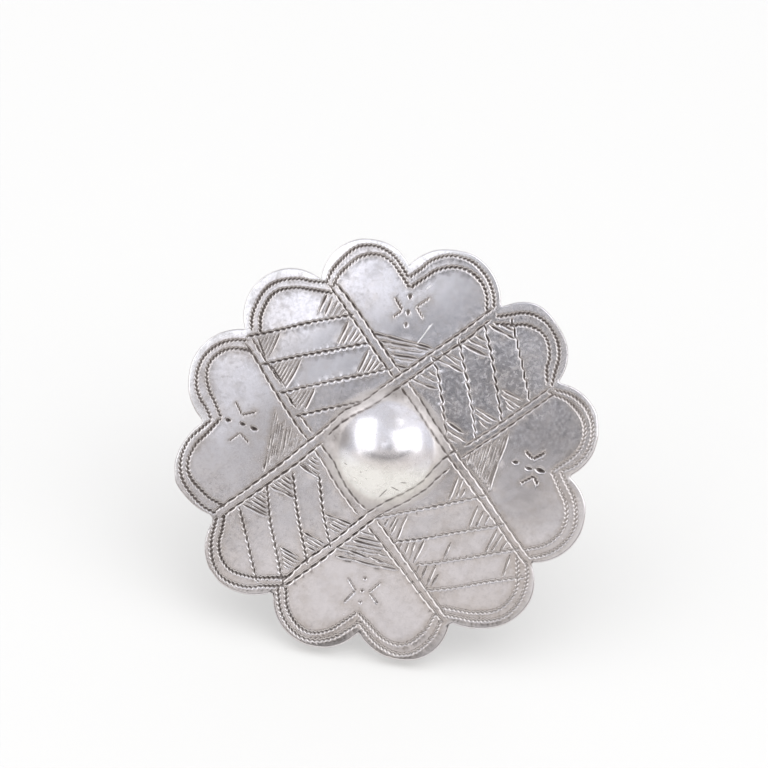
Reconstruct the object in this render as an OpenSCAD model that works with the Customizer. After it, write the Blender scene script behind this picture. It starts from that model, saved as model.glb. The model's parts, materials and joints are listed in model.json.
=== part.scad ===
// Folk silver ring: a lobed rosette raised to a dome in its middle, soldered to a plain band.
// Millimetres. The ring lies as it comes to rest, on the edge of its rosette and the rim of its band.

/* [Rosette] */
// Width of the rosette across opposite lobe tips
rosette_w = 36; // [30:0.5:42]
// Depth of the notches between the round lobes, from the tips
notch_depth = 2.3; // [1.8:0.1:2.8]
// Thickness of the silver sheet
sheet_t = 1.1; // [0.8:0.1:1.5]
// How far the rim lies behind the middle of the slightly convex sheet
crown = 0.5; // [0.2:0.1:0.9]

/* [Dome] */
// Width of the dome at its foot, flare included
dome_w = 9.3; // [8:0.1:10]
// Height of the dome above the sheet
dome_h = 2.2; // [1.6:0.1:2.6]
// Radius of the hollow curve that runs from the dome to the sheet
flare_r = 1; // [0.6:0.1:1.2]

/* [Band] */
// Inner diameter, for the finger
finger_d = 17.5; // [16:0.5:21]
// Thickness of the band
band_t = 1.5; // [1.2:0.1:2]
// Width of the band, along the finger
band_w = 5; // [4:0.5:7]
// Bevel on the outer edges of the band
band_bevel = 0.3; // [0.1:0.1:0.5]
// Radius of the solder fillets between the band and the sheet
solder_r = 1.3; // [1:0.1:1.6]

/* [Engraving] */
// Width of an engraved line
line_w = 0.26; // [0.2:0.02:0.36]
// Depth of an engraved line
line_d = 0.12; // [0.06:0.02:0.2]
// Distance from the edge of the rosette to the outer border line
border_inset = 0.7; // [0.6:0.05:0.9]
// Distance between the two lines of a border or of a rail
line_gap = 0.75; // [0.6:0.05:0.9]

/* [Hidden] */
$fn = 96;

lobes = 12;
half_step = 180 / lobes;
rosette_r = rosette_w / 2;
notch_r = rosette_r - notch_depth;
// Radius at which equal lobes meet in notches of the depth given
lobe_r = (notch_r * notch_r - 2 * notch_r * rosette_r * cos(half_step) + rosette_r * rosette_r)
    / (2 * (rosette_r - notch_r * cos(half_step)));
lobe_ring_r = rosette_r - lobe_r;

// The dome is part of a sphere that runs tangent into the flare
dome_r = dome_w / 2;
sphere_r = (dome_r * dome_r + dome_h * dome_h - 2 * dome_h * flare_r) / (2 * dome_h);
sphere_z = dome_h - sphere_r;
flare_a = asin(dome_r / (sphere_r + flare_r));
dome_steps = 10;
flare_steps = 5;
crown_steps = 4;
sheet_margin = 1;

finger_r = finger_d / 2;
band_r = finger_r + band_t;
band_mid_r = finger_r + band_t / 2;
// The fillet's centre lies a little nearer the band than tangent, so that the two walls cross
solder_cross = 0.02;
solder_reach = solder_r + band_r - solder_cross;
solder_x = sqrt(solder_reach * solder_reach - (band_r - solder_r) * (band_r - solder_r));
solder_a = asin(solder_x / solder_reach);
solder_in_x = 3.6;
solder_sink = 0.3;

// Side view of the places that touch the surface: y up the rosette, z out of its face
foot_y = lobe_ring_r * cos(half_step) + lobe_r;
foot_z = sheet_z(norm([lobe_ring_r * sin(half_step), foot_y]));
heel_y = band_w / 2;
heel_z = -sheet_t - 2 * band_r + band_bevel;
face_tilt = atan((foot_y - heel_y) / (foot_z - sheet_t - heel_z));
lift = foot_y * cos(face_tilt) - (foot_z - sheet_t) * sin(face_tilt);
front_y = depth(-foot_y, foot_z);
back_y = max(depth(heel_y, heel_z), depth(heel_y - band_bevel, heel_z - band_bevel));

// Horizontal place of a point of the side view, counted away from the viewer
function depth(y, z) = y * sin(face_tilt) - z * cos(face_tilt);

// Height of the sheet's front outside the dome, falling towards the rim
function sheet_z(r) = -crown * (r * r - dome_r * dome_r) / (rosette_r * rosette_r - dome_r * dome_r);

// Outline of dome, flare and sheet from the middle outwards, a distance below the front surface
function skin(below) = concat(
    [for (i = [0:dome_steps]) let (a = flare_a * i / dome_steps)
        [(sphere_r - below) * sin(a), sphere_z + (sphere_r - below) * cos(a)]],
    [for (i = [1:flare_steps]) let (a = flare_a * (1 - i / flare_steps))
        [dome_r - (flare_r + below) * sin(a), flare_r - (flare_r + below) * cos(a)]],
    [for (i = [1:crown_steps]) let (r = dome_r + (rosette_r + sheet_margin - dome_r) * i / crown_steps)
        [r, sheet_z(r) - below]]);

function reversed(points) = [for (i = [len(points) - 1:-1:0]) points[i]];

// Turns the local frame, face towards +Z, to the frame of the ring at rest
module at_rest() {
    translate([0, -(front_y + back_y) / 2, lift])
        rotate([90 - face_tilt, 0, 0])
            children();
}

module lobe_outline() {
    circle(r = lobe_ring_r);
    for (i = [0:lobes - 1])
        rotate((2 * i + 1) * half_step)
            translate([lobe_ring_r, 0])
                circle(r = lobe_r);
}

// Border lines that follow the lobes, each an arc that ends where its neighbour's begins
module border_lines() {
    border_from_r = lobe_ring_r - lobe_r / 3;
    border_to_r = rosette_r + sheet_margin;
    for (i = [0:lobes - 1], n = [0, 1])
        rotate((2 * i + 1) * half_step)
            intersection() {
                translate([lobe_ring_r, 0])
                    difference() {
                        circle(r = lobe_r - border_inset - n * line_gap + line_w / 2);
                        circle(r = lobe_r - border_inset - n * line_gap - line_w / 2);
                    }
                polygon([[border_from_r, -border_from_r * tan(half_step)],
                         [border_to_r, -border_to_r * tan(half_step)],
                         [border_to_r, border_to_r * tan(half_step)],
                         [border_from_r, border_from_r * tan(half_step)]]);
            }
}

// Four pairs of rails that run from notch to notch and frame the dome in a square
module rail_lines() {
    rail_offset = notch_r * sin(half_step);
    rail_l = 2 * (notch_r * cos(half_step) - border_inset - line_gap);
    for (i = [0:3], side = [-1, 1])
        rotate(45 + 90 * i)
            translate([0, rail_offset + side * line_gap / 2])
                square([rail_l, line_w], center = true);
}

module engraving() {
    difference() {
        translate([0, 0, -crown - sheet_t])
            linear_extrude(crown + sheet_t + dome_h) {
                border_lines();
                rail_lines();
            }
        rotate_extrude()
            polygon(concat(skin(line_d),
                           [[rosette_r + sheet_margin, -2 * (crown + sheet_t)], [0, -2 * (crown + sheet_t)]]));
    }
}

module rosette() {
    color("silver")
        difference() {
            intersection() {
                translate([0, 0, -2 * (crown + sheet_t)])
                    linear_extrude(2 * (crown + sheet_t) + 2 * dome_h)
                        lobe_outline();
                rotate_extrude()
                    polygon(concat(skin(0), reversed(skin(sheet_t))));
            }
            engraving();
        }
}

module solder_fillet() {
    difference() {
        polygon([[solder_in_x, solder_sink],
                 [solder_x, solder_sink],
                 [solder_x, -solder_r],
                 [band_mid_r * sin(solder_a), band_mid_r * cos(solder_a) - band_r],
                 [solder_in_x, sqrt(band_mid_r * band_mid_r - solder_in_x * solder_in_x) - band_r]]);
        translate([solder_x, -solder_r])
            circle(r = solder_r);
    }
}

module band() {
    color("lightgray")
        translate([0, 0, -sheet_t])
            rotate([90, 0, 0])
                difference() {
                    union() {
                        translate([0, -band_r, 0])
                            rotate_extrude()
                                polygon([[finger_r - band_t / 2, -band_w / 2],
                                         [band_r - band_bevel, -band_w / 2],
                                         [band_r, band_bevel - band_w / 2],
                                         [band_r, band_w / 2 - band_bevel],
                                         [band_r - band_bevel, band_w / 2],
                                         [finger_r - band_t / 2, band_w / 2]]);
                        linear_extrude(band_w, center = true)
                            for (side = [0, 1])
                                mirror([side, 0])
                                    solder_fillet();
                    }
                    translate([0, -band_r, 0])
                        cylinder(r = finger_r, h = 2 * band_w, center = true);
                }
}

module ring() {
    at_rest() {
        rosette();
        band();
    }
}

ring();
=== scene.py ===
import bpy
import bmesh
import json
import math
import random
import numpy as np
from mathutils import Matrix, Vector, geometry, kdtree, noise


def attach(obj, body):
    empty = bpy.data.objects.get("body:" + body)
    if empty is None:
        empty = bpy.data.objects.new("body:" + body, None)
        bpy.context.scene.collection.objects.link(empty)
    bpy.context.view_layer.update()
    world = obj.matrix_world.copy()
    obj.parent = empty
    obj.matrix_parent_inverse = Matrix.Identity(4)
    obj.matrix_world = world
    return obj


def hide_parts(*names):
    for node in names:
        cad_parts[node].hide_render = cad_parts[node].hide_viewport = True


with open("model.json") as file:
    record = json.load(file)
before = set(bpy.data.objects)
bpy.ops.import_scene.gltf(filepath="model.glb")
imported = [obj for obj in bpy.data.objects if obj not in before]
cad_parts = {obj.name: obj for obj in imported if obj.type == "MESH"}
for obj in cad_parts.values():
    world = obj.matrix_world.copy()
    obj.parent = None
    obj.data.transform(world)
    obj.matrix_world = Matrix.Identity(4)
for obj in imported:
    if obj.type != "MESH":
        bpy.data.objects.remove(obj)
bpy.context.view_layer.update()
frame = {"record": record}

# A folk silver ring at rest: an engraved rosette with a raised dome, soldered to a plain band.
# Sizes are in millimetres in the rosette's own frame, x to the right, y up the face and z out of it.

metre = 0.001  # one millimetre in Blender's metres

# where the rosette stands: the record's finger bore gives its slope and place
bore = frame["record"]["mounts"][0]
boreBelow = 11.35  # from the sheet's front to the middle of the finger hole
faceUp = Vector(bore["axis"]).normalized()
faceOut = Vector((0, -faceUp.z, faceUp.y))
faceMiddle = Vector(bore["pos_m"]) + faceOut * boreBelow * metre
standFace = Matrix((
    (metre, 0, 0, faceMiddle.x),
    (0, faceUp.y * metre, faceOut.y * metre, faceMiddle.y),
    (0, faceUp.z * metre, faceOut.z * metre, faceMiddle.z),
    (0, 0, 0, 1)))

photo = {
    "middle": (386.5, 449.5),       # the rosette's middle, in pixels from the photo's top left
    "pxPerMm": 11.9,
    "turn": math.radians(8.25),     # the pattern hangs this much clockwise of level
}


def onFace(px, py):
    dx = (px - photo["middle"][0]) / photo["pxPerMm"]
    dy = (photo["middle"][1] - py) / photo["pxPerMm"]
    c, s = math.cos(photo["turn"]), math.sin(photo["turn"])
    return (dx * c - dy * s, dx * s + dy * c)


def facePath(spots):
    return np.array([onFace(*spot) for spot in spots])


sheet = {
    "thickness": 1.1,
    "crown": 0.5,          # how far the rim lies behind the middle
    "tipRadius": 18.0,
    "tipMargin": 0.02,
    "domeFoot": 4.85,      # where its hollow foot ends
    "domeHeight": 2.05,
    "flare": 1.5,
    "sideReach": 17.49,    # of its outline to either side
    "squeezeFrom": 17.25,
    "rimRound": 0.08,
    "backRound": 0.13,
    "rimFall": 0.008,      # the worn rim bends back a little
    "rimWidth": 0.7,
    "unevenness": 0.03,    # the hand-hammered sheet is never quite even
    "unevenSpan": 5.0,
    "unevenSeed": 4.2,
    "rimSheenFrom": 0.15,    # the rubbed part of the rim, painted with a highlight, in from the edge
    "rimSheenOver": 0.6,
    "sharpFrom": 65,       # degrees between two faces
}
# the dome is part of a ball that runs smoothly into its hollow foot
ballRadius = (sheet["domeFoot"] ** 2 + sheet["domeHeight"] ** 2
              - 2 * sheet["domeHeight"] * sheet["flare"]) / (2 * sheet["domeHeight"])
flareStart = ballRadius * sheet["domeFoot"] / (ballRadius + sheet["flare"])


def skinHeight(x, y, below=0.0):
    # the front surface, or one a distance under it
    r = np.hypot(x, y)
    span = sheet["tipRadius"] ** 2 - sheet["domeFoot"] ** 2
    plate = -sheet["crown"] * (r * r - sheet["domeFoot"] ** 2) / span - below
    ball = ballRadius - below
    dome = sheet["domeHeight"] - ballRadius + np.sqrt(np.maximum(ball * ball - r * r, 0))
    hollow = sheet["flare"] + below
    flare = sheet["flare"] - np.sqrt(np.maximum(hollow ** 2 - (sheet["domeFoot"] - r) ** 2, 0))
    turn = flareStart - below * flareStart / ballRadius
    return np.where(r < turn, dome, np.where(r < sheet["domeFoot"], flare, plate))


def unevenAt(x, y):
    span = sheet["unevenSpan"]
    return sheet["unevenness"] * noise.noise(Vector((x / span, y / span, sheet["unevenSeed"])))


# the outline: each lobe is an arc through two notches and its tip
# tip is the lobe's direction in degrees and reach in pixels; notch is where it begins, going round anticlockwise.
# edge, outer and inner are distances in from that arc, in pixels, at five even steps along the lobe:
# of the real edge, and of the two border lines.
lobes = {
    "four": {"tip": (6, 215.5), "notch": (571, 478), "edge": (2, 2, 0.5, 0.5, 1),
             "outer": (9, 8.5, 8, 8, 9), "inner": (17, 16.5, 16, 16, 14)},
    "three": {"tip": (37.5, 212.8), "notch": (560, 382), "edge": (1, 0, 1, -3, 0),
              "outer": (9, 9, 8.5, 8, 11), "inner": (18, 18.5, 18, 20, 21)},
    "two": {"tip": (69.5, 213.2), "notch": (504, 306), "edge": (3, 1.5, 0, 0, 0),
            "outer": (10, 9, 7, 8, 12), "inner": (17, 16, 17, 19.5, 21)},
    "one": {"tip": (95.5, 212.5), "notch": (409, 265), "edge": (0, 0, 0, 0, 0),
            "outer": (7.5, 7, 7.5, 11, 7), "inner": (12, 14, 17.5, 20, 15)},
    "twelve": {"tip": (126, 212.6), "notch": (321, 279), "edge": (0, 0, 0.5, 0.5, 0),
               "outer": (6, 11, 11.5, 11.5, 7), "inner": (15, 20, 20, 20, 16)},
    "eleven": {"tip": (155.5, 214.5), "notch": (245, 329), "edge": (0, 0, 0.5, 1, 0),
               "outer": (11.5, 10, 9, 9.5, 11.5), "inner": (20.5, 17.5, 17.5, 21, 21.5)},
    "ten": {"tip": (185.5, 215), "notch": (201, 419), "edge": (4, 4, 0, 4, 5),
            "outer": (8.5, 7.5, 7.5, 10, 8.5), "inner": (16, 15.8, 15, 20, 19)},
    "nine": {"tip": (217, 214), "notch": (210, 520), "edge": (3, 0.5, -0.5, 1.5, 2),
             "outer": (7, 7, 5, 9, 11), "inner": (15.5, 15, 16, 20, 18.5)},
    "eight": {"tip": (246.5, 212.8), "notch": (271, 595), "edge": (2, 1.5, 1, 0, 0),
              "outer": (8, 7.5, 6.5, 9, 10), "inner": (15, 15, 14, 17.5, 19)},
    "seven": {"tip": (277, 212.5), "notch": (357, 634), "edge": (2, 2, 0, -1.5, 0),
              "outer": (9.5, 9, 6.5, 9.5, 10), "inner": (16.5, 17, 16.5, 20, 19)},
    "six": {"tip": (308.5, 212.5), "notch": (449, 627), "edge": (5, 5, 1, -2, 0),
            "outer": (13, 13.5, 9, 7.5, 5.5), "inner": (20, 21.5, 18, 16, 15.5)},
    "five": {"tip": (338, 212.2), "notch": (532, 565), "edge": (2, 1.5, 0.5, -1, 0),
             "outer": (8, 9.5, 9, 9.5, 8), "inner": (17, 19, 19, 18.5, 17)},
}
# where two border lines meet in a point, inside the notch of a heart: the lobe that begins there,
# with its outer and its inner line
cusps = {"four": ((560.5, 471.5), (552, 471)), "one": ((409, 278), (410, 288)),
         "ten": ((211, 420), (221, 418)), "seven": ((359, 623), (357.5, 612))}
# where other border lines begin or finish on the rails, if they don't simply run on
lineBegins = {("three", "outer"): (552, 387), ("three", "inner"): (547.5, 384.5), ("six", "outer"): (443, 614.5),
              ("six", "inner"): (441, 607), ("nine", "outer"): (217, 516), ("nine", "inner"): (224.5, 515),
              ("eight", "outer"): (277.5, 586.5), ("twelve", "outer"): (329, 282.5), ("twelve", "inner"): (333.5, 293)}
lineEnds = {("three", "outer"): (496.5, 316.5), ("three", "inner"): (494, 323), ("six", "inner"): (517, 556),
            ("nine", "outer"): (284, 586), ("nine", "inner"): (288, 577)}


def circleThrough(a, b, c):
    d = 2 * (a[0] * (b[1] - c[1]) + b[0] * (c[1] - a[1]) + c[0] * (a[1] - b[1]))
    qa, qb, qc = (p[0] ** 2 + p[1] ** 2 for p in (a, b, c))
    x = (qa * (b[1] - c[1]) + qb * (c[1] - a[1]) + qc * (a[1] - b[1])) / d
    y = (qa * (c[0] - b[0]) + qb * (a[0] - c[0]) + qc * (b[0] - a[0])) / d
    return x, y, math.hypot(a[0] - x, a[1] - y)


def easeThrough(values, t):
    # a smooth curve through evenly spaced values
    n = len(values) - 1
    k = np.clip(np.floor(t * n).astype(int), 0, n - 1)
    f = t * n - k
    v = np.concatenate([[2 * values[0] - values[1]], values, [2 * values[-1] - values[-2]]])
    a, b, c, d = v[k], v[k + 1], v[k + 2], v[k + 3]
    return b + 0.5 * f * (c - a + f * (2 * a - 5 * b + 4 * c - d + f * (3 * (b - c) + d - a)))


leastSteps = 8  # along a lobe
lobeNames = list(lobes)
nextLobe = dict(zip(lobeNames, lobeNames[1:] + lobeNames[:1]))
for name, lobe in lobes.items():
    angle, reach = math.radians(lobe["tip"][0]), lobe["tip"][1]
    tip = onFace(photo["middle"][0] + reach * math.cos(angle), photo["middle"][1] - reach * math.sin(angle))
    begin, end = onFace(*lobe["notch"]), onFace(*lobes[nextLobe[name]]["notch"])
    lobe["circle"] = circleThrough(begin, tip, end)
    x, y = lobe["circle"][:2]
    lobe["from"] = math.atan2(begin[1] - y, begin[0] - x)
    lobe["to"] = math.atan2(end[1] - y, end[0] - x)
    while lobe["to"] < lobe["from"]:
        lobe["to"] += 2 * math.pi


def alongLobe(name, distances, t):
    # points a distance (in photo pixels) in from the lobe's arc
    lobe = lobes[name]
    x, y, r = lobe["circle"]
    angle = lobe["from"] + (lobe["to"] - lobe["from"]) * t
    radius = r - easeThrough(np.array(distances, float), t) / photo["pxPerMm"]
    return np.stack([x + radius * np.cos(angle), y + radius * np.sin(angle)], 1)


def outlineLoop(step):
    parts = []
    for name, lobe in lobes.items():
        count = max(leastSteps, round((lobe["to"] - lobe["from"]) * lobe["circle"][2] / step))
        parts.append(alongLobe(name, lobe["edge"], np.linspace(0, 1, count)))
    # one rounded point takes the place of the two ends that meet in a notch
    ends = [(parts[i - 1][-1] + parts[i][0]) / 2 for i in range(len(parts))]
    loop = np.concatenate([np.vstack([ends[i][None], parts[i][1:-1]]) for i in range(len(parts))])
    return keepInside(loop)


def keepInside(loop):
    # the hand-cut edge stays within the size of the plain solid, which is less along x and y than at the tips
    r = np.hypot(loop[:, 0], loop[:, 1])
    loop = loop * np.minimum(1, (sheet["tipRadius"] - sheet["tipMargin"]) / r)[:, None]
    squeeze = (sheet["sideReach"] - sheet["squeezeFrom"]) / (np.abs(loop).max() - sheet["squeezeFrom"])
    beyond = np.maximum(np.abs(loop) - sheet["squeezeFrom"], 0)
    return loop - np.sign(loop) * beyond * (1 - min(1, squeeze))


# a rail is drawn along a straight strip of the photo: stations are (pixels along it, pixels to its right)
rails = {
    "fallingFirst": {"from": (205, 522), "to": (508, 300),
        "upper": [[(14, -3), (40, -2.4), (70, -2.2), (100, -2.6), (120, -3.6), (137, -4), (152, -5), (166, -6.4),
                   (180, -7.4), (192, -4.6), (205, -3.8), (240, -4), (262, -3), (284, -2.8), (302, -2), (325, -1.6),
                   (360, -2)]],
        "lower": [[(14, 6), (40, 5.6), (62, 6.4), (82, 6.6), (102, 7), (122, 6), (142, 5)], [(150, 3), (166, 1),
                   (182, 1.2), (198, 3.6), (214, 5.4), (236, 6), (262, 6.4), (284, 6), (304, 6.4), (322, 7.4),
                   (338, 6), (350, 5.6)]]},
    "fallingSecond": {"from": (280, 587), "to": (565, 383),
        "upper": [[(4, -2.4), (18, -4.8), (34, -6.6), (56, -6.6), (80, -7), (100, -8.6), (120, -9.2), (140, -7),
                   (160, -3.6), (175, -2.6), (190, -5.6), (206, -8.6), (224, -9)],
                  [(232, -7), (246, -6), (266, -5), (300, -4.6), (336, -4.6)]],
        "lower": [[(4, 2), (26, 2.2), (50, 2.2), (66, 1.2), (86, 0.8), (108, -0.6), (122, -0.4), (136, 1.4),
                   (156, 4.4), (176, 5.4), (188, 3.6), (206, 2)],
                  [(222, 0.4), (234, 1.4), (250, 2), (280, 2.6), (310, 2.8), (338, 3)]]},
    "risingFirst": {"from": (243, 335), "to": (459, 630),
        "upper": [[(8, -5), (26, -4), (46, -2.6), (62, -2)], [(72, -0.4), (90, 0.4)], [(98, 1.4), (120, 1.8)],
                  [(132, 2), (154, 1.6), (164, 3.4), (176, 5.6), (188, 6.6), (202, 5.6), (214, 3.6)],
                  [(229, 1.4), (256, 1.2), (284, 1.8), (314, 2.4), (350, 2.6)]],
        "lower": [[(8, 3.4), (24, 3.8), (44, 5.8), (62, 7.4), (78, 8.6), (96, 9.6), (122, 9.8)],
                  [(134, 10), (152, 10.6), (170, 12.4), (186, 13.4), (212, 13.2)],
                  [(228, 12.2), (248, 11.6), (268, 10.8), (290, 10.2), (314, 9.8), (350, 8.4)]]},
    "risingSecond": {"from": (328, 275), "to": (537, 570),
        "upper": [[(8, -1.4), (24, -2.8), (44, -3.6), (68, -3.4), (94, -3.2), (121, -3.2)], [(133, -3.6),
                   (158, -3.4), (178, -2), (204, -1.6), (232, -1.6), (262, -2.2), (290, -1.2), (346, -1)]],
        "lower": [[(8, 5), (26, 4.6), (46, 5), (66, 5), (84, 5.8), (104, 5.8), (121, 5.4)], [(133, 5.6), (156, 5.2),
                   (176, 5.4), (200, 6.4), (228, 6.8), (252, 5.8), (276, 6), (304, 6.2), (350, 6)]]},
}

# the four arms each hold four wriggled lines, with hatching where these meet the rails
wriggles = {
    "upperLeft": [[(250, 336), (283, 329), (316, 321), (350, 315)],
                  [(265, 364), (300, 356), (332, 350), (364, 343.5)],
                  [(283, 392.5), (318, 384), (352, 377), (389, 369)],
                  [(298.5, 415.7), (326, 409), (345, 405), (359, 402)]],
    "upperRight": [[(433, 361), (437, 370), (440, 385), (443, 408), (446, 432)],
                   [(459, 341), (465, 370), (472, 408), (475.7, 438)],
                   [(485, 327), (492, 358), (497, 390), (501.6, 418)],
                   [(512, 321), (518, 345), (524, 372), (530, 400)]],
    "lowerRight": [[(376, 517.5), (404, 512), (440, 505), (481, 496)],
                   [(397, 541.6), (425, 538), (462, 531), (499, 525.5)],
                   [(420, 564), (440, 562), (476, 556), (514, 549.6)],
                   [(429, 590), (452, 588), (486, 582), (520, 578)]],
    "lowerLeft": [[(240, 510), (247, 540), (256, 578)], [(267, 487), (270, 520), (275, 545), (283, 585)],
                  [(293, 476), (297, 510), (301, 532), (307, 561)],
                  [(319, 477), (321, 495), (323, 512), (330, 544)]],
}
strongHatch = {
    "upperLeft": [[(257, 337), (267, 361)], [(327.5, 293), (317.5, 315)], [(348, 322), (337, 346)],
                  [(368.5, 350), (357, 374.5)], [(270, 364), (286, 388)], [(315, 388), (304, 411)]],
    "upperRight": [[(411, 378), (425, 385), (437, 389)], [(431, 356), (463, 372)], [(460, 343), (489, 357)],
                   [(490, 325), (515, 339)], [(447, 422), (463, 433)], [(475, 408), (497, 421)],
                   [(503, 390), (523, 401)]],
    "lowerRight": [[(458, 477), (448, 502)], [(478, 506), (468, 530)], [(497, 530), (485, 554)],
                   [(510, 556), (503, 577)], [(407, 515), (396, 541)], [(424, 540), (414, 562)],
                   [(436, 565), (427, 586)]],
    "lowerLeft": [[(242, 504), (269, 517)], [(270, 486), (295, 498)], [(299, 464), (319, 478)],
                  [(280, 547), (298, 557)], [(303, 532), (325, 544)], [(325, 514), (353, 525)]],
    "top": [[(373, 333), (384, 335.8), (400, 340), (424, 346), (434, 349.5)],
            [(380, 341), (400, 344.5), (412, 346.5), (430, 350.5)],
            [(391, 354.5), (400, 356), (409, 357), (419, 359)], [(394, 364), (400, 366.5), (408, 368)]],
    "right": [[(509, 432), (504, 447), (498, 462), (492, 480), (489.5, 491)], [(472, 450), (467, 464)]],
    "bottom": [[(336, 547.5), (345, 549.5), (360, 554.5), (368, 558)],
               [(336, 556), (353, 559.5), (370, 564), (398, 569.5)], [(360, 531), (368, 533.5), (377, 537)],
               [(351, 539.5), (366, 543.5), (386, 548.5)], [(369, 556.6), (381, 561), (393, 565.8)]],
    "left": [[(267, 455), (266, 461), (263.5, 471)]],
}
fineHatch = {
    "upperLeft": [[(280, 333), (273.5, 347), (267.4, 360)], [(301.5, 358.5), (292.5, 376), (284, 390)],
                  [(333, 297), (324, 316)], [(338, 301), (329, 317)], [(342, 305), (334, 317)],
                  [(346, 308), (339.5, 317)], [(352.5, 326), (342, 345)], [(356.5, 329), (347, 345)],
                  [(360.5, 332.5), (351, 344)], [(363.5, 336), (356, 343)], [(372.5, 355), (362, 374)],
                  [(376.5, 358), (366.5, 373)], [(380, 361.5), (371, 371.5)], [(384, 365), (376, 371.5)]],
    "upperRight": [[(448, 354), (462, 361)], [(428, 371), (437, 376)], [(441, 351), (460, 366)],
                   [(475, 335), (486, 341)], [(468, 339), (488, 349)], [(499, 323), (514, 331)],
                   [(448, 430), (466, 442)], [(475, 413), (491, 423)], [(480, 421), (488, 428)],
                   [(502, 395), (521, 407)], [(506, 401), (516, 409)], [(506, 406), (513, 411)],
                   [(447, 437), (456, 443)], [(420, 374), (436, 382)]],
    "lowerRight": [[(463, 478), (456, 499)], [(466, 488), (460, 498)], [(484, 511), (475, 529)],
                   [(490, 514), (484, 525)], [(503, 533), (491, 553)], [(508, 540), (500, 551)],
                   [(399, 518), (391, 534)], [(396, 517), (389, 531)], [(388, 520), (384, 527)],
                   [(415, 542), (409, 561)], [(409, 543), (404, 555)], [(401, 544), (400, 549)],
                   [(427, 566), (422, 578)], [(420, 564), (417, 572)], [(438, 575), (431, 587)],
                   [(451, 543), (443, 560)]],
    "lowerLeft": [[(244, 501), (268.5, 514)], [(248, 498), (268, 509.5)], [(252.5, 495.5), (267.5, 504.5)],
                  [(257, 493), (266.5, 499)], [(261.5, 491), (267, 494.5)], [(273, 482.5), (292.7, 495)],
                  [(276.5, 480), (292.7, 490.4)], [(280.5, 477.5), (292.7, 485.4)],
                  [(284.5, 475.5), (292.5, 480.8)], [(301.5, 463), (318.7, 475.3)],
                  [(304.5, 460.6), (318.7, 470.7)], [(308, 458.3), (318, 465.2)], [(311.6, 456.3), (317.9, 460.6)],
                  [(281.3, 551), (299, 561)], [(281.8, 555.6), (296.5, 563.6)], [(282.3, 560), (293.4, 566.7)],
                  [(282.8, 564.2), (290.4, 568.7)], [(304.5, 536), (324.2, 547.2)], [(305.6, 541), (320.5, 549.7)],
                  [(306, 546), (316.7, 551.5)], [(328.8, 518.7), (348.2, 527)], [(329.3, 523.2), (344, 530.3)],
                  [(329.8, 527.8), (339.4, 533)]],
    "top": [[(387, 347.5), (405, 350.5), (424, 353)], [(396, 358.5), (402, 359.7), (413, 361.5)],
            [(397, 368), (402, 372)]],
    "bottom": [[(356, 537), (368, 539.5), (381, 543)], [(344, 544), (364, 547.5), (383, 552.5)],
               [(353, 549.2), (375.8, 554)], [(354, 546), (363, 548.5)], [(377, 553.5), (388, 556.5)],
               [(375, 560.5), (385, 563)], [(345, 552.5), (356, 556)]],
}
softHatch = {   # shallow and close, stained brown
    "upperLeft": [[(276, 334), (265.6, 356.5)], [(272.2, 334.6), (263.4, 353.6)], [(268.4, 335.4), (261.4, 350.4)],
                  [(264.6, 336.4), (259.6, 347)], [(261, 337.4), (257.8, 343.6)], [(297.4, 359.4), (282, 386.4)],
                  [(293.4, 360), (280, 383.4)], [(289.4, 360.8), (278, 380.4)], [(285.4, 361.6), (276, 377.4)],
                  [(281.4, 362.4), (274, 374.4)], [(277.4, 363), (272, 371)], [(311.4, 388.6), (298.4, 409)],
                  [(307.4, 389.2), (296.4, 406)], [(303.4, 390), (294.4, 403.4)], [(299.4, 390.8), (292.4, 400.6)],
                  [(295.6, 391.6), (290.6, 398)]],
}
fans = {   # rows of straight strokes, spread from a first to a last one; short is the most that a stroke lacks
    "left": {"first": [(276, 409.5), (264.6, 470.5)], "last": [(303, 438), (299.5, 445.5)],
             "strokes": 15, "short": 0.3, "astray": 0.2, "kind": "closeStroke"},
    "right": {"first": [(473, 452), (470.5, 465)], "last": [(506, 434), (487.5, 488)],
              "strokes": 10, "short": 0.1, "astray": 0.2, "kind": "wideStroke"},
}
# every heart has two small angles with three drops between them, cut with a short chisel
angles = {
    "top": [[(395.1, 297.5), (402.3, 310.5), (393.4, 317)], [(429.2, 298.4), (416.8, 307), (422.8, 318.5)]],
    "right": [[(526, 451), (533, 459), (545, 453)], [(521, 483), (534, 476), (538, 485)]],
    "bottom": [[(348, 578), (355.5, 591), (344, 603)], [(380.5, 583), (369, 593), (377, 604)]],
    "left": [[(235.5, 402), (242, 415), (256, 412)], [(229, 441), (240, 433), (249, 443)]],
}
drops = {  # from the thick end to the thin one
    "top": [[(410.3, 296), (409.8, 298.2)], [(408.3, 311.8), (407.9, 314.4)], [(406.2, 324.4), (405.6, 326.6)]],
    "right": [[(516.6, 462.2), (513.6, 462)], [(527.4, 468), (531.5, 469)], [(538.5, 469.6), (544, 471.6)]],
    "bottom": [[(365, 578.2), (364.9, 579.6)], [(362, 590.6), (361.8, 592)], [(360.3, 602), (360.1, 603.4)]],
    "left": [[(227, 419.8), (230, 420.5)], [(241.5, 423.7), (244.6, 424.6)], [(252, 428), (256.5, 429.6)]],
}

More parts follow.
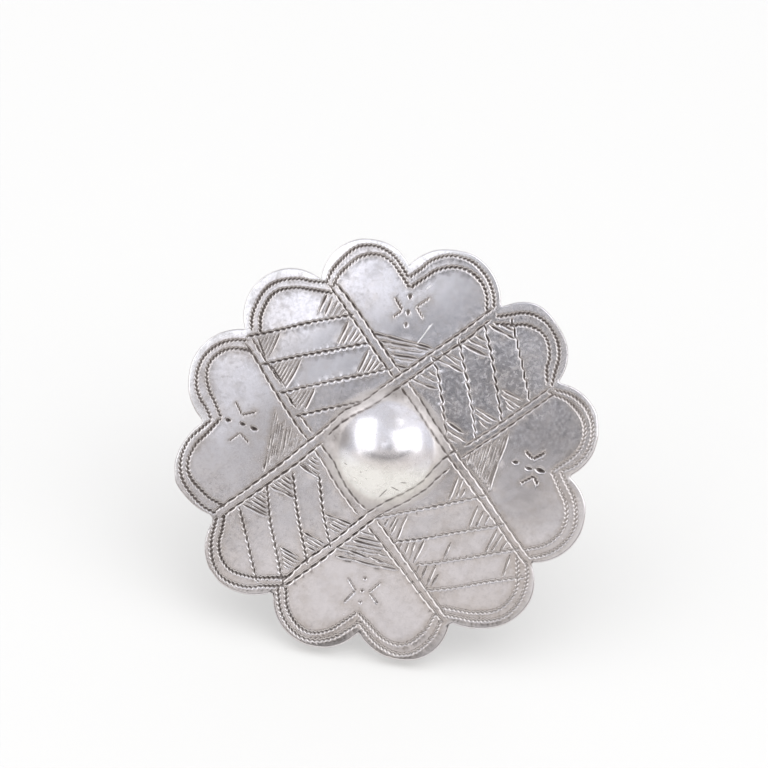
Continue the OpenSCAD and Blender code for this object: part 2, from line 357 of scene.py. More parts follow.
# half width, depth, tooth length and sideways swing of each kind of line, in millimetres; then shares: of the burr,
# which stands on a line's lower side, of the burr on its far side, and of the stain round it
cutColumns = ("half", "depth", "tooth", "swing", "burr", "far", "stain")
cuts = {
    "border": (0.145, 0.12, 0.38, 0.075, 0.5, 0.5, 0.6),
    "rail": (0.148, 0.11, 0.9, 0.022, 0.65, 0.3, 0.7),
    "wriggle": (0.15, 0.11, 0.56, 0.05, 0.8, 0.3, 0.4),
    "longWriggle": (0.12, 0.11, 0.85, 0.07, 0.95, 1.0, 0.2),
    "strong": (0.145, 0.098, 2.5, 0.01, 0.7, 0.3, 0.5),
    "fine": (0.125, 0.077, 2.5, 0.01, 0.7, 0.2, 0.5),
    "glossy": (0.11, 0.065, 2.5, 0.01, 1.0, 0.5, 0.1),
    "soft": (0.105, 0.04, 2.5, 0.005, 0.35, 0.2, 0.9),
    "closeStroke": (0.095, 0.043, 2.5, 0.002, 0.25, 0.2, 0.9),
    "wideStroke": (0.13, 0.065, 2.5, 0.002, 0.35, 0.2, 0.8),
    "angle": (0.12, 0.085, 0.3, 0.045, 0.1, 1.0, 0.5),
    "broadAngle": (0.17, 0.14, 0.32, 0.05, 0.15, 1.0, 0.5),
    "faintAngle": (0.11, 0.05, 0.3, 0.03, 0.05, 1.0, 0.3),
    "drop": (0.22, 0.17, 9, 0, 0, 1.0, 0.3),
    "faintDrop": (0.16, 0.11, 9, 0, 0.05, 1.0, 0.3),
}
cuts = {kind: dict(zip(cutColumns, row)) for kind, row in cuts.items()}
shallowCuts = ("soft", "closeStroke", "wideStroke")
graver = {
    "burr": 0.0195, "burrWidth": 0.3,         # height of a whole burr, and its width in half widths of the line
    "fullDepth": 0.125, "grimeReach": 0.42,   # how deep a line is fully dark, and how far the grime spreads
    "lower": (0.35, -0.94),                   # the side on which the burr stands
    "step": 0.1, "toothedStep": 0.07, "shallowStep": 0.15,    # between the stations of a line
    "toothVaries": (0.92, 1.08), "depthVaries": (0.85, 1.1),
    "taper": {"rocked": 0.2, "mark": 0.12, "other": 0.35},    # length of a line's thin ends
    "thinEnd": 0.25, "narrowLift": 0.7,       # shares of depth and width that are left at a thin end, or where lifted
    "burrSide": (-0.5, 0.5),                  # from the far side of a line to the burr's, in half widths
    "paleSide": (0.2, 0.8), "paleShare": 0.95,    # the wall below the burr catches the light, so it's left pale
    "darkest": 1.8, "wornEdge": (0.0, 0.35),
}
push = {   # one push of the graver, which drifts aside, digs in and is picked up again: places along it, values there
    "swing": ((0, 0.7, 1), (-1, 1, -1)),
    "lift": ((0, 0.15, 0.6, 0.85, 1), (0.38, 1, 1, 0.45, 0.38)),
    "burr": ((0, 0.1, 0.2, 0.6, 0.75, 0.95, 1), (0.9, 0.3, 0.15, 0.15, 1, 1, 0.9)),
    "drop": ((0, 0.35, 1), (0.9, 1, 0.6)),
}
hand = {   # size, span and seed of what is uneven in a hand-cut line
    "slip": (0.3, 1.7, 3.3), "wander": (0.03, 1.2, 9.1), "shallowWander": (0.006, 1.2, 9.1),
    "weight": (0.25, 2.1, 5.7), "mood": (0.9, 0.8, 7.9),
}
wear = {   # the lines at the lower right and round the dome are worn pale
    "toward": (0.85, -0.5), "from": 2.5, "over": 8, "roundDome": 6.2, "domeOver": 1.5,
    "depth": 0.35, "half": 0.12, "burr": 0.3,
}
dice = random.Random(12)


def smoothLine(points, step, fineness=24):
    # even stations on a smooth curve through the points
    points = np.asarray(points, float)
    if len(points) > 2:
        t = np.linspace(0, 1, (len(points) - 1) * fineness + 1)
        points = np.stack([easeThrough(points[:, 0], t), easeThrough(points[:, 1], t)], 1)
    run = np.concatenate([[0], np.cumsum(np.hypot(*np.diff(points, axis=0).T))])
    count = max(3, round(run[-1] / step) + 1)
    s = np.linspace(0, run[-1], count)
    return np.stack([np.interp(s, run, points[:, 0]), np.interp(s, run, points[:, 1])], 1), s


engraved = []   # one entry per line: its stations, and depth, half width and burr at each


def uneven(what, x, y=None):
    # by place, or without y along a line, where each line has a pattern of its own
    size, span, seed = hand[what]
    y = np.full(len(x), len(engraved)) if y is None else y / span
    return size * np.array([noise.noise(Vector((a, b, seed))) for a, b in zip(x / span, y)])


def engrave(kind, points, taper=graver["taper"]["other"]):
    cut = cuts[kind]
    isShallow = kind in shallowCuts
    isDrop = kind.lower().endswith("drop")
    step = graver["shallowStep"] if isShallow else graver["toothedStep"] if cut["tooth"] < 1 else graver["step"]
    middle, s = smoothLine(points, step)
    along = np.gradient(middle, axis=0)
    along /= np.maximum(np.hypot(along[:, 0], along[:, 1]), 1e-9)[:, None]
    aside = np.stack([-along[:, 1], along[:, 0]], 1)
    if aside[len(aside) // 2] @ graver["lower"] < 0:
        aside = -aside
    tooth = cut["tooth"] * dice.uniform(*graver["toothVaries"])
    phase = (s / tooth + uneven("slip", s) + dice.random()) % 1
    swing = cut["swing"] * np.interp(phase, *push["swing"])
    lift = np.interp(phase, *push["lift"])
    wander = uneven("shallowWander" if isShallow else "wander", *middle.T)
    weight = 1 + uneven("weight", *middle.T)
    fade = np.clip(np.minimum(s, s[-1] - s) / taper, 0, 1)
    fade = graver["thinEnd"] + (1 - graver["thinEnd"]) * fade
    worn = np.clip((middle @ wear["toward"] - wear["from"]) / wear["over"], 0, 1)
    nearDome = (wear["roundDome"] - np.hypot(middle[:, 0], middle[:, 1])) / wear["domeOver"]
    worn = np.maximum(worn, np.clip(nearDome, 0, 1))
    if isDrop or kind.lower().endswith("angle"):
        worn *= 0
    if isDrop:
        fade = np.interp(s / s[-1], *push["drop"])
        lift = np.ones(len(s))
    narrow = graver["narrowLift"] + (1 - graver["narrowLift"]) * lift
    deeper = dice.uniform(*graver["depthVaries"])
    engraved.append({
        "middle": middle + aside * (swing + wander)[:, None],
        "aside": aside,
        "depth": cut["depth"] * lift * fade * weight * deeper * (1 - wear["depth"] * worn),
        "half": cut["half"] * narrow * fade * weight * (1 - wear["half"] * worn),
        "burr": cut["burr"] * (1 + uneven("mood", s)) * (1 - wear["burr"] * worn) * np.interp(phase, *push["burr"]),
        "far": np.full(len(s), cut["far"]),
        "stain": np.full(len(s), cut["stain"]),
        "worn": worn,
    })


def railPath(rail, stations):
    (x0, y0), (x1, y1) = rail["from"], rail["to"]
    length = math.hypot(x1 - x0, y1 - y0)
    ux, uy = (x1 - x0) / length, (y1 - y0) / length
    return facePath([(x0 + ux * s - uy * t, y0 + uy * s + ux * t) for s, t in stations])


def stretched(path, before, after):
    # lengthened straight on at either end
    first, last = path[0] - path[1], path[-1] - path[-2]
    return np.vstack([path[0] + first * before / math.hypot(*first), path,
                      path[-1] + last * after / math.hypot(*last)])


borderSteps, borderEnd = 13, 0.06    # along a lobe; how far before its end a line that meets another is let go
runOn = (0.35, 0.45)    # how far the outer border line runs on past a lobe, and how much further the inner one
for name, follower in nextLobe.items():
    for side, line in enumerate(("outer", "inner")):
        starts = cusps[name][side] if name in cusps else lineBegins.get((name, line))
        stops = cusps[follower][side] if follower in cusps else lineEnds.get((name, line))
        places = np.linspace(borderEnd if starts else 0, 1 - borderEnd if stops else 1, borderSteps)
        path = alongLobe(name, lobes[name][line], places)
        longer = runOn[0] + runOn[1] * side
        path = stretched(path, 0 if starts else longer, 0 if stops else longer)
        if starts:
            path[0] = onFace(*starts)
        if stops:
            path[-1] = onFace(*stops)
        engrave("border", path, graver["taper"]["rocked"])
for rail in rails.values():
    for side in ("upper", "lower"):
        for stations in rail[side]:
            engrave("rail", railPath(rail, stations))
wriggleRunOn = 0.3
for place, lines in wriggles.items():
    for spots in lines:
        path = stretched(facePath(spots), wriggleRunOn, wriggleRunOn)
        engrave("longWriggle" if place == "upperRight" else "wriggle", path, graver["taper"]["rocked"])
for place, lines in strongHatch.items():
    for spots in lines:
        engrave("strong", facePath(spots))
    for spots in fineHatch.get(place, []):
        engrave("glossy" if place == "top" else "fine", facePath(spots))
for fan in fans.values():
    first, last = np.array(fan["first"]), np.array(fan["last"])
    for i in range(fan["strokes"]):
        astray = dice.uniform(-fan["astray"], fan["astray"])
        start, stop = first + (last - first) * (i + astray) / (fan["strokes"] - 1)
        short = fan["short"] * dice.random()
        engrave(fan["kind"], facePath([start + (stop - start) * short / 2, stop + (start - stop) * short / 2]))
for lines in softHatch.values():
    for spots in lines:
        engrave("soft", facePath(spots))
for place, lines in angles.items():
    for spots in lines:
        for leg in (spots[:2], spots[1:]):
            engrave({"bottom": "faintAngle", "right": "broadAngle"}.get(place, "angle"), facePath(leg),
                    graver["taper"]["mark"])
for place, lines in drops.items():
    for spots in lines:
        engrave("faintDrop" if place == "bottom" else "drop", facePath(spots))
print("engraved lines:", len(engraved), "stations:", sum(len(e["depth"]) for e in engraved))


def crowd(points, nearest):
    # the points in order, leaving out each that lies too near one before it
    cells, kept = {}, []
    for p in points:
        cx, cy = int(p[0] // nearest), int(p[1] // nearest)
        if any((p[0] - q[0]) ** 2 + (p[1] - q[1]) ** 2 < nearest * nearest
               for i in (-1, 0, 1) for j in (-1, 0, 1) for q in cells.get((cx + i, cy + j), ())):
            continue
        cells.setdefault((cx, cy), []).append(p)
        kept.append(p)
    return kept


meshing = {   # in millimetres
    "across": (0, 0.95, -0.95, 0.45, -0.45, 1.4, -1.4, 1.9, -1.9),   # places beside a line, in its half widths
    "ends": ((1.05, 0.07), (1.6, 0.14)),     # half rings round its ends: in half widths, and the least reach
    "nearest": 0.047, "lineMargin": 0.06, "filler": 0.42, "fillerMargin": 0.15, "fillerClear": 0.5,
    "domeFiller": 0.2, "domeReach": 5.3, "domeClear": 0.55, "outlineStep": 0.2, "rimInner": 0.07,
    "backFiller": 0.9, "backMargin": 0.3, "hollowFiller": 0.35, "hollowReach": (4.8, 5),
    "rowShare": 0.866,     # of the spacing, between rows of points
}
edgePoints = outlineLoop(meshing["outlineStep"])
edgeTree = kdtree.KDTree(len(edgePoints))
for number, spot in enumerate(edgePoints):
    edgeTree.insert((spot[0], spot[1], 0), number)
edgeTree.balance()


def fillerPoints(spacing, reach):
    for j in range(int(2 * reach / (spacing * meshing["rowShare"]))):
        y = -reach + j * spacing * meshing["rowShare"]
        for i in range(int(2 * reach / spacing)):
            yield (-reach + (i + 0.5 * (j % 2)) * spacing, y)


def insetLoop(loop, distance):
    run = np.roll(loop, -1, 0) - np.roll(loop, 1, 0)
    run /= np.hypot(run[:, 0], run[:, 1])[:, None]
    return loop + np.stack([-run[:, 1], run[:, 0]], 1) * distance


def insideLoop(points, loop, margin):
    # the rosette's outline is met once in every direction, so the reach in a point's direction tells
    angle = np.arctan2(loop[:, 1], loop[:, 0])
    order = np.argsort(angle)
    reach = np.interp(np.arctan2(points[:, 1], points[:, 0]), angle[order],
                      np.hypot(loop[:, 0], loop[:, 1])[order], period=2 * math.pi)
    return points[np.hypot(points[:, 0], points[:, 1]) < reach - margin]


def clearOf(points, others, distance):
    tree = kdtree.KDTree(len(others))
    for i, p in enumerate(others):
        tree.insert((p[0], p[1], 0), i)
    tree.balance()
    return [p for p in points if tree.find((p[0], p[1], 0))[2] > distance]


def triangulate(loop, inside):
    points = [Vector(p) for p in loop] + [Vector(p) for p in inside]
    edges = [(i, (i + 1) % len(loop)) for i in range(len(loop))]
    done = geometry.delaunay_2d_cdt(points, edges, [], 1, 1e-5)
    spots = np.array([tuple(p) for p in done[0]])
    return spots[:len(loop) + len(inside)], [tuple(f) for f in done[2]]


def newObject(name, verts, faces, edges=()):
    mesh = bpy.data.meshes.new(name)
    mesh.from_pydata([tuple(v) for v in verts], list(edges), faces)
    mesh.update()
    thing = bpy.data.objects.new(name, mesh)
    bpy.context.scene.collection.objects.link(thing)
    return thing


def placed(points):
    # from the rosette's frame in millimetres to metres in the scene
    m = np.array(standFace)
    return points @ m[:3, :3].T + m[:3, 3]


def faceHeight(x, y):
    # the front surface with its unevenness and its worn rim
    z = skinHeight(x, y)
    for i, p in enumerate(zip(x, y)):
        inward = edgeTree.find((p[0], p[1], 0))[2]
        worn = max(0, 1 - inward / sheet["rimWidth"])
        z[i] += unevenAt(*p) - sheet["rimFall"] * worn * worn
    return z


def aroundEnds(cut):
    # points beyond both ends of a line, so that it ends as crisply as its walls
    for here, beyond in ((0, 1), (-1, -2)):
        heading = cut["middle"][here] - cut["middle"][beyond]
        heading = math.atan2(heading[1], heading[0])
        for share, least in meshing["ends"]:
            reach = max(cut["half"][here] * share, least)
            for turn in (-90, -45, 0, 45, 90):
                a = heading + math.radians(turn)
                yield cut["middle"][here] + reach * np.array([math.cos(a), math.sin(a)])


def makeRosette():
    loop = edgePoints
    count = len(loop)
    face, rimLine = [insetLoop(loop, sheet["rimRound"] + more) for more in (0, meshing["rimInner"])]
    wanted = [*map(tuple, face), *map(tuple, rimLine)]
    for share in meshing["across"]:
        for cut in engraved:
            points = cut["middle"] + cut["aside"] * (cut["half"] * share)[:, None]
            wanted.extend(map(tuple, insideLoop(points, face, meshing["lineMargin"])))
    ends = np.array([p for cut in engraved for p in aroundEnds(cut)])
    wanted.extend(map(tuple, insideLoop(ends, face, meshing["lineMargin"])))
    kept = crowd(wanted, meshing["nearest"])
    reach = meshing["domeReach"]
    dome = [p for p in fillerPoints(meshing["domeFiller"], reach) if math.hypot(*p) < reach]
    plain = [p for p in fillerPoints(meshing["filler"], sheet["tipRadius"]) if math.hypot(*p) >= reach]
    plain = insideLoop(np.array(plain), face, meshing["fillerMargin"])
    dome = clearOf(dome, kept, meshing["domeClear"] * meshing["domeFiller"])
    kept += dome + clearOf(plain, kept, meshing["fillerClear"] * meshing["filler"])
    spots, faces = triangulate(kept[:count], kept[count:])
    verts = [np.column_stack([spots, faceHeight(*spots.T)])]
    total = len(spots)
    edge, under = faceHeight(*loop.T), skinHeight(*loop.T, sheet["thickness"])
    rings = [np.arange(count)]
    # the rim rounds over, runs down the edge of the sheet and rounds under again
    degrees = (30, 60, 90)
    turns = [(math.radians(a), 1) for a in degrees] + [(math.radians(a), -1) for a in reversed(degrees)]
    for a, side in turns:
        r = sheet["rimRound"] if side > 0 else sheet["backRound"]
        ring = insetLoop(loop, r * (1 - math.sin(a)))
        z = edge - r * (1 - math.cos(a)) if side > 0 else under + r * (1 - math.cos(a))
        verts.append(np.column_stack([ring, z]))
        rings.append(np.arange(total, total + count))
        total += count
    back = insetLoop(loop, sheet["backRound"])
    inner, outer = meshing["hollowReach"]
    grid = [p for p in fillerPoints(meshing["backFiller"], sheet["tipRadius"]) if math.hypot(*p) >= outer]
    grid = list(map(tuple, insideLoop(np.array(grid), back, meshing["backMargin"])))
    grid += [p for p in fillerPoints(meshing["hollowFiller"], outer) if math.hypot(*p) < inner]
    backSpots, backFaces = triangulate([tuple(p) for p in back], grid)
    z = skinHeight(*backSpots.T, sheet["thickness"])
    verts.append(np.column_stack([backSpots, z]))
    rings.append(np.arange(total, total + count))
    faces += [tuple(total + i for i in reversed(f)) for f in backFaces]
    for upper, lower in zip(rings, rings[1:]):
        for i in range(count):
            j = (i + 1) % count
            faces.append((upper[i], lower[i], lower[j], upper[j]))
    body = newObject("rosette", placed(np.concatenate(verts)), faces)
    rim = np.zeros(len(body.data.vertices), np.float32)
    rim[len(spots):len(spots) + len(turns) * count] = 1
    body.data.attributes.new("rim", "FLOAT", "POINT").data.foreach_set("value", rim)
    rubbed = np.zeros(len(rim), np.float32)
    for i, p in enumerate(spots):
        inward = edgeTree.find((p[0], p[1], 0))[2]
        rubbed[i] = 1 - min(1, max(0, inward - sheet["rimSheenFrom"]) / sheet["rimSheenOver"])
    body.data.attributes.new("rubbed", "FLOAT", "POINT").data.foreach_set("value", rubbed)
    return body


def makeGuide():
    # the lines as bare edges with what each station holds, for the engraving tree to read
    verts, edges = [], []
    values = {"depth": [], "half": [], "burr": [], "far": [], "stain": [], "worn": []}
    for cut in engraved:
        start, n = len(values["depth"]), len(cut["depth"])
        x, y = cut["middle"][:, 0], cut["middle"][:, 1]
        z = faceHeight(x, y)
        verts.append(np.column_stack([x, y, z]))
        edges += [(start + i, start + i + 1) for i in range(n - 1)]
        for name in values:
            values[name] += list(cut[name] * (metre if name in ("depth", "half") else 1))
    guide = newObject("engravingGuide", placed(np.concatenate(verts)), [], edges)
    for name, column in values.items():
        guide.data.attributes.new(name, "FLOAT", "POINT").data.foreach_set("value", column)
    aside = np.concatenate([cut["aside"] for cut in engraved])
    lower = np.column_stack([aside, np.zeros(len(aside))]) @ np.array(standFace.to_3x3()).T / metre
    guide.data.attributes.new("lower", "FLOAT_VECTOR", "POINT").data.foreach_set("vector", lower.ravel())
    return guide


class Wire:
    # a node's socket that can be written in sums
    def __init__(self, tree, socket):
        self.tree, self.socket = tree, socket

    def sum(self, operation, *values):
        return make(self.tree, "ShaderNodeMath", {"operation": operation}, values)

    def __add__(self, other):
        return self.sum("ADD", self, other)

    def __sub__(self, other):
        return self.sum("SUBTRACT", self, other)

    def __rsub__(self, other):
        return self.sum("SUBTRACT", other, self)

    def __mul__(self, other):
        return self.sum("MULTIPLY", self, other)

    def __truediv__(self, other):
        return self.sum("DIVIDE", self, other)

    def __pow__(self, other):
        return self.sum("POWER", self, other)

    __radd__ = __add__
    __rmul__ = __mul__

    def clamped(self):
        wire = self.sum("ADD", self, 0.0)
        wire.socket.node.use_clamp = True
        return wire

    def atLeast(self, other):
        return self.sum("MAXIMUM", self, other)

    def atMost(self, other):
        return self.sum("MINIMUM", self, other)

    def size(self):
        return self.sum("ABSOLUTE", self)

    def between(self, low, high):
        # 0 below low, 1 above high, smooth between
        return make(self.tree, "ShaderNodeMapRange", {"interpolation_type": "SMOOTHSTEP"},
                    {"Value": self, "From Min": low, "From Max": high})


def make(tree, kind, settings=None, sockets=(), take=0):
    # one node: its type, its settings, then the values or wires of its sockets; take names the output
    node = tree.nodes.new(kind)
    for key, value in (settings or {}).items():
        setattr(node, key, value)
    pairs = sockets.items() if isinstance(sockets, dict) else enumerate(sockets)   # by name, or in order
    for key, value in pairs:
        if isinstance(key, int):
            slot = node.inputs[key]
        else:
            slot = next(s for s in node.inputs if s.name == key and s.enabled)
        if isinstance(value, Wire):
            tree.links.new(value.socket, slot)
        else:
            slot.default_value = value
    if isinstance(take, str):
        return Wire(tree, next(s for s in node.outputs if s.name == take and s.enabled))
    return Wire(tree, [s for s in node.outputs if s.enabled][take])


def dotted(tree, a, b):
    return make(tree, "ShaderNodeVectorMath", {"operation": "DOT_PRODUCT"}, (a, b), "Value")


def combined(tree, x, y, z):
    return make(tree, "ShaderNodeCombineXYZ", {}, (x, y, z))


def mixed(tree, factor, a, b):
    return make(tree, "ShaderNodeMix", {"data_type": "RGBA"}, {"Factor": factor, "A": a, "B": b}, "Result")


def newTree(name, inputs):
    tree = bpy.data.node_groups.new(name, "GeometryNodeTree")
    tree.interface.new_socket(name="Geometry", in_out="OUTPUT", socket_type="NodeSocketGeometry")
    for label, kind in inputs.items():
        tree.interface.new_socket(name=label, in_out="INPUT", socket_type="NodeSocket" + kind)
    into = tree.nodes.new("NodeGroupInput")
    return tree, {label: Wire(tree, into.outputs[label]) for label in inputs}


def endTree(tree, shape, material):
    shape = make(tree, "GeometryNodeRealizeInstances", {}, {"Geometry": shape})
    shape = make(tree, "GeometryNodeSetMaterial", {}, {"Geometry": shape, "Material": material})
    tree.links.new(shape.socket, tree.nodes.new("NodeGroupOutput").inputs["Geometry"])


def runTree(thing, tree, values):
    # sets the tree's inputs, then keeps the result as a plain mesh
    modifier = thing.modifiers.new(tree.name, "NODES")
    modifier.node_group = tree
    for item in tree.interface.items_tree:
        if item.in_out == "INPUT" and item.name in values:
            modifier[item.identifier] = values[item.name]
    ready = bpy.context.evaluated_depsgraph_get()
    mesh = bpy.data.meshes.new_from_object(thing.evaluated_get(ready), preserve_all_data_layers=True, depsgraph=ready)
    thing.modifiers.remove(modifier)
    old, thing.data = thing.data, mesh
    bpy.data.meshes.remove(old)
    mesh.name = thing.name


silver = {
    "clean": (0.803, 0.79, 0.826, 1), "warm": (0.69, 0.65, 0.635, 1), "dirtAndShade": (0.15, 0.13, 0.122, 1),
    "bright": (0.97, 0.965, 0.975, 1), "mirroredFloorCream": (0.9, 0.878, 0.83, 1),
    # noise patterns in millimetres: scale, detail, roughness, distortion
    "clouds": {"patches": (0.22, 3.0), "blotch": (1.1, 4.0, 0.55, 0.1), "pebble": (3.6, 2.0),
               "grain": (14.0, 3.0, 0.6), "stainy": (3.3, 3.0, 0.6, 0.1), "murk": (0.55, 4.0, 0.6, 0.5),
               "dents": (0.9, 1.0), "pitted": (0.6, 2.0)},
    # where a pattern or a distance starts to show, and where it shows in full
    "shows": {"streak": (0.66, 0.76), "pit": (0.02, 0.06), "pitted": (0.5, 0.6), "tarnish": (0.48, 0.68),
              "patches": (0.35, 0.6), "pebble": (0.42, 0.68), "grain": (0.45, 0.7), "murk": (0.45, 0.7),
              "shoulder": (0.3, 1.1), "warmPatches": (0.42, 0.66), "warmBlotch": (0.45, 0.7), "dull": (0.42, 0.66),
              "grimy": (0.35, 0.6), "groove": (0.04, 0.45), "domeStain": (0.5, 0.7)},
    # shares that a calm, bathed or polished place takes off
    "less": {"blotchBathed": 0.7, "stainBathed": 0.8, "stainCalm": 0.7, "heightPolished": 0.8, "heightBathed": 0.6,
             "tarnishBathed": 0.6, "darkCalm": 0.85, "darkPolished": 0.9, "frecklePolished": 0.8,
             "freckleCalm": 0.6},
    "tarnishPatchy": 0.35, "tarnishBehind": 0.15, "stainRagged": 0.5,
    # fine scratches: angle, length, width and seed
    "streaks": ((24, 5, 0.05, 3), (-48, 4, 0.045, 17), (82, 6, 0.05, 31), (-12, 3, 0.04, 47)),
    "pitScale": 0.75,
    # ways across the face, from where to where: the calm lower right, the upper left that the light bathes, the right
    # side that is painted darker as shade, and more
    "sides": {"calm": ((0.5, -0.87), (-2, 7)), "bathed": ((-0.66, 0.75), (2, 9)), "lit": ((-0.7, 0.7), (4, 13)),
              "right": ((1, 0), (6, 14)), "left": ((-1, 0), (5, 12)), "low": ((0, -1), (0.3, 2.2))},
    "polishEdge": (3.6, 5.2),                 # of the dome
    "footRise": (3.7, 4.4), "footFall": (4.7, 5.6),
    "frontEdge": (-1.0, -0.7),                # from back to front of the sheet
    "stains": [(342, 438, 1.0, 1.3), (397, 393, 1.1, 0.8)],   # dull places on the dome: in the photo, and reach
    # bright scratches and dark nicks, each between two places in the photo
    "hairlines": [((416, 345), (433, 323)), ((424.5, 334), (431, 324)), ((425, 290), (433, 284))],
    "nicks": [((378, 498), (388, 488)), ((390, 486), (400, 491)), ((399, 482), (408, 483)),
              ((343, 462), (348, 465))],
    "hairEdge": (0.0006, 0.0036), "hairEnd": 0.3,     # squares of the distance from a hairline; its thin ends
    # how much each thing adds
    "relief": {"patches": 0.006, "dents": 0.005, "pebble": 0.0006, "grain": 0.0002, "scratch": 0.0002, "pit": 0.02},
    "roughness": {"plain": 0.12, "blotch": 0.08, "grain": 0.05, "stain": 0.06, "polished": 0.25,
                  "polishedBlotch": 0.2, "foot": 0.42, "hairline": 0.5, "dark": 0.3, "scratch": 0.05},
    "warmth": {"patches": 0.35, "blotch": 0.3, "back": 0.4, "stain": 1.3, "worn": 0.9, "grime": 0.3, "foot": 0.9,
               "rim": 0.6, "shoulder": 0.8, "band": 0.3},
    "dark": {"groove": 0.6, "grooveBlotch": 0.55, "grooveWorn": 0.55, "worn": 0.2, "stain": 0.13, "tarnish": 0.18,
             "murk": 0.16, "right": 0.19, "left": 0.12, "pit": 0.5, "rim": 0.08, "freckle": 0.045, "shoulder": 0.3,
             "back": 0.05, "backMurk": 0.08, "backBlotch": 0.12, "foot": 0.02, "footBlotch": 0.12,
             "domeStain": 0.1, "domeMurk": 0.06, "nick": 0.72},
    "bandDark": {"plain": 0.02, "tarnish": 0.06, "murk": 0.1, "blotch": 0.12, "freckle": 0.5},
    "rimShine": 0.15, "litShine": 0.85, "mirroredFloorShare": 0.9, "hairShine": 0.8,
}


def faceCoords(tree):
    # the rosette's own frame in millimetres, from the piece's object coordinates
    spot = make(tree, "ShaderNodeTexCoord", {}, {}, "Object")
    spot = make(tree, "ShaderNodeVectorMath", {"operation": "SUBTRACT"}, (spot, tuple(faceMiddle)))
    return [dotted(tree, spot, tuple(axis)) * (1 / metre) for axis in ((1, 0, 0), faceUp, faceOut)]


def cloud(tree, where, scale, detail=2.0, rough=0.5, distortion=0.0):
    return make(tree, "ShaderNodeTexNoise", {}, {"Vector": where, "Scale": scale, "Detail": detail,
                                                 "Roughness": rough, "Distortion": distortion})


def streaks(tree, x, y, z, angle, length, width, seed):
    c, s = math.cos(math.radians(angle)), math.sin(math.radians(angle))
    along, across = x * c + y * s, y * c - x * s
    return cloud(tree, combined(tree, along * (1 / length), across * (1 / width) + seed, z), 1.0, 1.0)


def hairline(x, y, ends, strength):
    # strong on a thin straight line between two places in the photo, 0 beside it
    first, last = facePath(ends)
    length = math.dist(first, last)
    ux, uy = (last - first) / length
    along = (x - first[0]) * ux + (y - first[1]) * uy
    aside = (x - first[0]) * uy - (y - first[1]) * ux
    end = silver["hairEnd"]
    line = (1 - (aside * aside).between(*silver["hairEdge"])) * along.between(0, end)
    return line * (1 - along.between(length - end, length)) * strength


